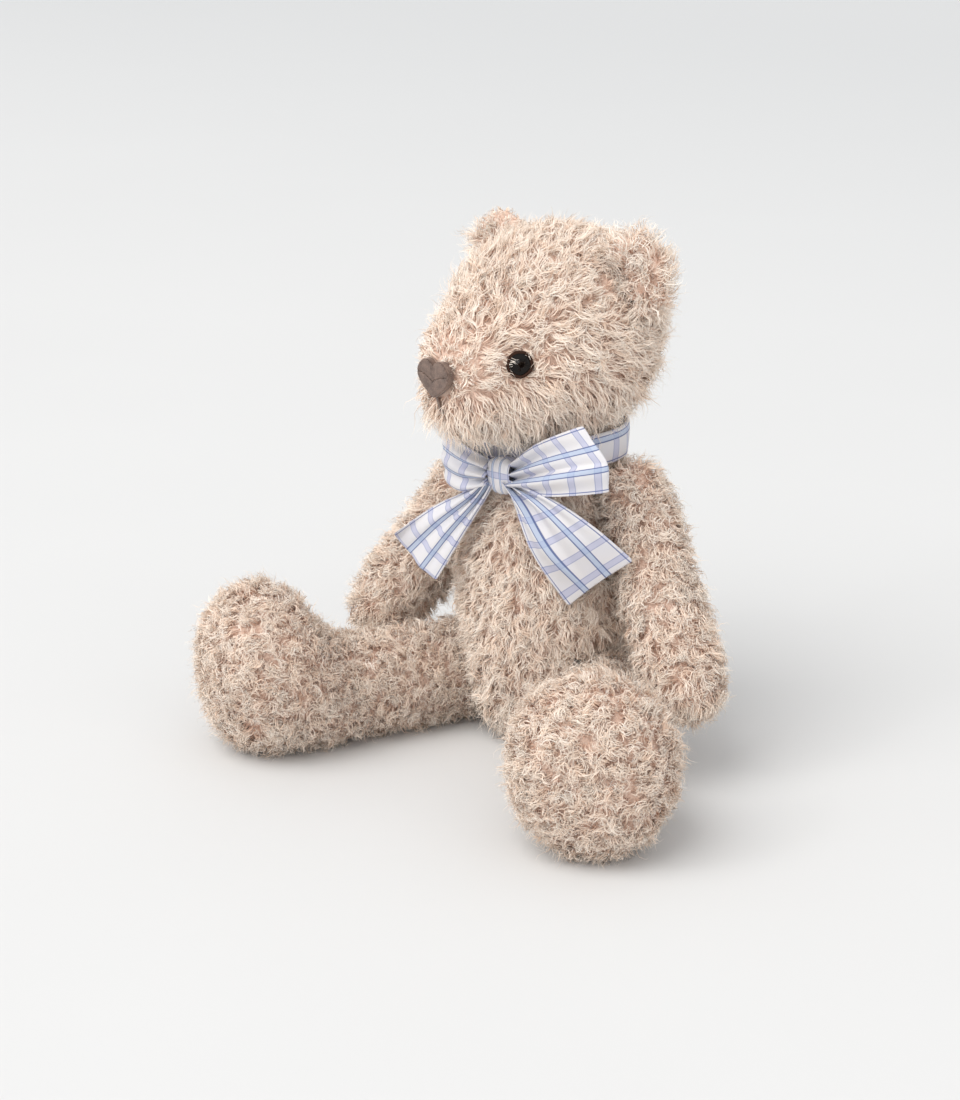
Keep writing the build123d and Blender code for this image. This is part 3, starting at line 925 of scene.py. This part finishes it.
def face_trim(spots):
    """Pile length on the head, as a share.

    There is none under the nose and eyes.  It is short round them, on the crown and in front of
    the ears, and long at the jaw.
    """
    from_nose = np.linalg.norm(spots - NOSE, axis=1)
    scale = 0.45 + 0.55 * step_between(11 * MM, 38 * MM, from_nose)
    scale = np.maximum(scale, step_between(2 * MM, 10 * MM, NOSE[2] - spots[:, 2]))
    scale *= 1 - 0.35 * step_between(240 * MM, 258 * MM, spots[:, 2])
    scale *= np.where(from_nose < 8.5 * MM, 0, 1)
    for eye in EYES:
        from_eye = np.linalg.norm(spots - eye, axis=1)
        scale *= 0.45 + 0.55 * step_between(6 * MM, 16 * MM, from_eye)
        scale *= np.where(from_eye < 5.5 * MM, 0, 1)
    for ear in EARS:
        in_front = np.linalg.norm(spots - ear - FORWARD * 14 * MM, axis=1)
        scale *= 0.4 + 0.6 * step_between(10 * MM, 22 * MM, in_front)
    jaw = step_between(200 * MM, 175 * MM, spots[:, 2])
    return scale * (1 + 0.45 * jaw)


def low_at_the_top(spots):
    """The far ear's pile is flattened at its top, as in the photograph."""
    top = spots[:, 2].max()
    return 1.05 - 0.75 * step_between(top - 16 * MM, top - 4 * MM, spots[:, 2])


def even(spots):
    """Pile of one length."""
    return np.ones(len(spots))


def neighbours(*own):
    """Every skin and ribbon piece that isn't on the named skins' own body."""
    return [skin for name, skin in SKINS.items() if name not in own] + BOW


HEAD_SKINS = ("head", "ear_left", "ear_right")
grow("torso", SKINS["torso"], "torso", TORSO_COAT, downwards, even, neighbours("torso"), 1)
grow("head", SKINS["head"], "head", HEAD_COAT, radiating, face_trim, neighbours(*HEAD_SKINS), 2)
for number, side in enumerate(SIDES):
    ear_trim = even if side == "left" else low_at_the_top
    for seed, part, body, coat, lay, trim, own in (
        (10, f"ear_{side}", "head", EAR_COAT, outward_ear, ear_trim, HEAD_SKINS),
        (20, f"arm_{side}", f"arm_{side}", ARM_COAT, to_the_paw, even, (f"arm_{side}",)),
        (30, f"leg_{side}", f"leg_{side}", LEG_COAT, forwards, even, (f"leg_{side}",)),
    ):
        grow(part, SKINS[part], body, coat, lay, trim, neighbours(*own), seed + number)


# --- face ---------------------------------------------------------------------------------
EYE_RIM_RISE = 6.6 * MM  # from the middle of the eye's washer to the rim
EYE_RIM_R = 5.7 * MM
EYE_RIM_THICK = 1.5 * MM
STITCH_PITCH = 0.62 * MM
STITCH_STEP = 0.5 * MM
STITCH_R = 0.4 * MM
STITCH_LIFT = 0.25 * MM
NOSE_REACH = 11 * MM  # above and below the nose's middle, past its edges


def tube(points, radius, corners=6):
    """Points and faces of a thin tube along a path."""
    points = np.asarray(points)
    tangents = unit(np.gradient(points, axis=0))
    first = unit(np.cross(tangents, [0.0, 0.0, 1.0]) + 1e-6)
    second = np.cross(tangents, first)
    turn = np.linspace(0, 2 * pi, corners, endpoint=False)
    ring = first[:, None] * np.cos(turn)[None, :, None]
    ring = ring + second[:, None] * np.sin(turn)[None, :, None]
    rows = (points[:, None] + ring * radius).reshape(-1, 3)
    faces = []
    for low in range(0, (len(points) - 1) * corners, corners):
        high = low + corners
        for j in range(corners):
            k = (j + 1) % corners
            faces.append((low + j, low + k, high + k, high + j))
    return rows, faces


def stitched_nose():
    """Satin stitches laid side by side over the nose pad, from its top edge to its point."""
    points, tris = arrays(NODES["nose"])
    surface = BVHTree.FromPolygons(points.tolist(), tris.tolist())
    across = np.cross(FORWARD, [0.0, 0.0, 1.0])
    offsets = (points - NOSE) @ across
    verts = []
    faces = []
    for offset in np.arange(offsets.min() + STITCH_PITCH / 2, offsets.max(), STITCH_PITCH):
        column = []
        for height in np.arange(-NOSE_REACH, NOSE_REACH, STITCH_STEP):
            start = NOSE + across * offset + np.array([0, 0, height]) + FORWARD * 30 * MM
            hit = surface.ray_cast(Vector(start), Vector(-FORWARD), 50 * MM)
            if hit[0] is not None and hit[1].dot(Vector(FORWARD)) > 0.15:
                column.append(np.array(hit[0]))
        if len(column) < 4:
            continue
        column = np.array(column)
        lift = np.sin(np.linspace(0, pi, len(column))) ** 0.4
        column = column + FORWARD * (lift * STITCH_LIFT)[:, None]
        rows, quads = tube(column, STITCH_R)
        quads = [tuple(k + len(verts) for k in quad) for quad in quads]
        verts.extend(rows.tolist())
        faces.extend(quads)
    stitches = add_object("nose_stitches", mesh_of("nose_stitches", verts, faces))
    paint(stitches, THREAD)
    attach(stitches, "head")
    return stitches


def eye_rim(side):
    """A felt ring round the foot of an eye."""
    eye = arrays(NODES[f"eye_{side}"])[0].mean(axis=0)
    washer = arrays(NODES[f"eye_washer_{side}"])[0].mean(axis=0)
    axis = unit(eye - washer)
    middle = washer + axis * EYE_RIM_RISE
    first = unit(np.cross(axis, [0.0, 0.0, 1.0]))
    second = np.cross(axis, first)
    turn = np.linspace(0, 2 * pi, 41)[:, None]
    wobble = 1 + 0.02 * np.sin(turn * 5)
    path = middle + (first * np.cos(turn) + second * np.sin(turn)) * EYE_RIM_R * wobble
    rows, faces = tube(path, EYE_RIM_THICK / 2, 8)
    rim = add_object(f"eye_rim_{side}", mesh_of(f"eye_rim_{side}", rows, faces))
    paint(rim, RIM)
    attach(rim, "head")


stitched_nose()
for side in SIDES:
    eye_rim(side)

# --- fibrefill ----------------------------------------------------------------------------
FILLINGS = ["torso", "head"] + [f"{limb}_{side}" for limb in ("arm", "leg") for side in SIDES]
FILL_VOXEL = 4 * MM
FILL_WAVES = 12
FILL_WAVINESS = 260  # radians per metre
FILL_DEPTH = 1.4  # mm that the fill lies inside its solid
FILL_LUMPS = 1.8  # mm that the depth varies by


def fibrefill(part, seed):
    """The lumpy fill inside one cover, drawn in from the cover's stuffing solid."""
    node = node_of("stuffing", part)
    points, tris = arrays(NODES[node])
    fill = add_object(f"{part}_fibrefill", mesh_of(f"{part}_fibrefill", points, tris))
    smooth_skin(fill, FILL_VOXEL)
    points = arrays(fill)[0]
    rng = np.random.default_rng(seed)
    waves = rng.normal(size=(FILL_WAVES, 3)) * FILL_WAVINESS
    phases = rng.random(FILL_WAVES) * 2 * pi
    lumps = np.sin(points @ waves.T + phases).mean(axis=1)
    draw = (FILL_DEPTH + FILL_LUMPS * lumps)[:, None] * MM
    set_points(fill.data, points - point_normals(fill.data) * draw)
    paint(fill, FIBREFILL)
    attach(fill, part)
    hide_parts(node)


for seed, part in enumerate(FILLINGS):
    fibrefill(part, 100 + seed)

# --- carried-over CAD nodes ---------------------------------------------------------------
for joint in JOINTS:
    for kind in ("joint_disc", "joint_washer", "lock_washer"):
        paint(NODES[node_of(kind, joint)], PLASTIC)
for side in SIDES:
    paint(NODES[f"eye_{side}"], EYE)
    paint(NODES[f"eye_washer_{side}"], PLASTIC)
paint(NODES["nose"], THREAD)
paint(NODES["mouth_stitch"], THREAD)


# --- floor, light and camera --------------------------------------------------------------
# Lengths and places in metres, strengths in W/m2 and the lamp's power in W.  A light comes from
# the side that its vector points to.
FLOOR_R = 12
KEY_TOWARDS = Vector((-0.2, -0.74, 1.06))
KEY_STRENGTH = 1.92
FILL_TOWARDS = Vector((0.75, -0.65, 0.35))
FILL_STRENGTH = 0.65
SKY_STRENGTH = 0.76
EYE_LAMP_PLACE = Vector((-0.35, -0.95, 0.85))
EYE_LAMP_SIZE = 0.1
EYE_LAMP_POWER = 0.7


def floor():
    """A wide pale floor that fills the view."""
    work = bmesh.new()
    bmesh.ops.create_circle(work, cap_ends=True, radius=FLOOR_R, segments=96)
    mesh = bpy.data.meshes.new("floor")
    work.to_mesh(mesh)
    work.free()
    ground = add_object("floor", mesh)
    paint(ground, floor_material())


def sun(towards, strength, spread):
    """A broad soft light from far away, so that the floor is evenly lit."""
    data = bpy.data.lights.new("softbox", "SUN")
    data.energy = strength
    data.angle = spread
    data.color = (1.0, 0.985, 0.96)
    obj = bpy.data.objects.new("softbox", data)
    bpy.context.scene.collection.objects.link(obj)
    obj.rotation_euler = towards.to_track_quat("Z", "Y").to_euler()


def catch_light(place, size, power):
    """A small square lamp for the bright spot in each eye."""
    data = bpy.data.lights.new("catch_light", "AREA")
    data.size = size
    data.energy = power
    obj = bpy.data.objects.new("catch_light", data)
    bpy.context.scene.collection.objects.link(obj)
    obj.location = place
    obj.rotation_euler = place.to_track_quat("Z", "Y").to_euler()


def sky(strength):
    """An even light from all sides."""
    world = bpy.data.worlds.new("studio")
    world.use_nodes = True
    background = world.node_tree.nodes["Background"]
    background.inputs["Color"].default_value = (0.98, 0.99, 1.0, 1.0)
    background.inputs["Strength"].default_value = strength
    bpy.context.scene.world = world


def camera():
    """The photograph's viewpoint."""
    right = Vector((cos(CAMERA_AZIMUTH), sin(CAMERA_AZIMUTH), 0))
    level = Vector((sin(CAMERA_AZIMUTH), -cos(CAMERA_AZIMUTH), 0))
    back = level * cos(CAMERA_ELEVATION) + Vector((0, 0, sin(CAMERA_ELEVATION)))
    up = back.cross(right)
    aim = right * AIM_RIGHT + up * AIM_UP
    data = bpy.data.cameras.new("camera")
    data.lens = CAMERA_LENS
    obj = bpy.data.objects.new("camera", data)
    bpy.context.scene.collection.objects.link(obj)
    turn = Matrix((right, up, back)).transposed().to_4x4()
    obj.matrix_world = Matrix.Translation(aim + back * CAMERA_DISTANCE) @ turn
    bpy.context.scene.camera = obj


floor()
sky(SKY_STRENGTH)
sun(KEY_TOWARDS, KEY_STRENGTH, radians(50))
sun(FILL_TOWARDS, FILL_STRENGTH, radians(90))
catch_light(EYE_LAMP_PLACE, EYE_LAMP_SIZE, EYE_LAMP_POWER)
bpy.context.scene.view_settings.view_transform = "Standard"
camera()
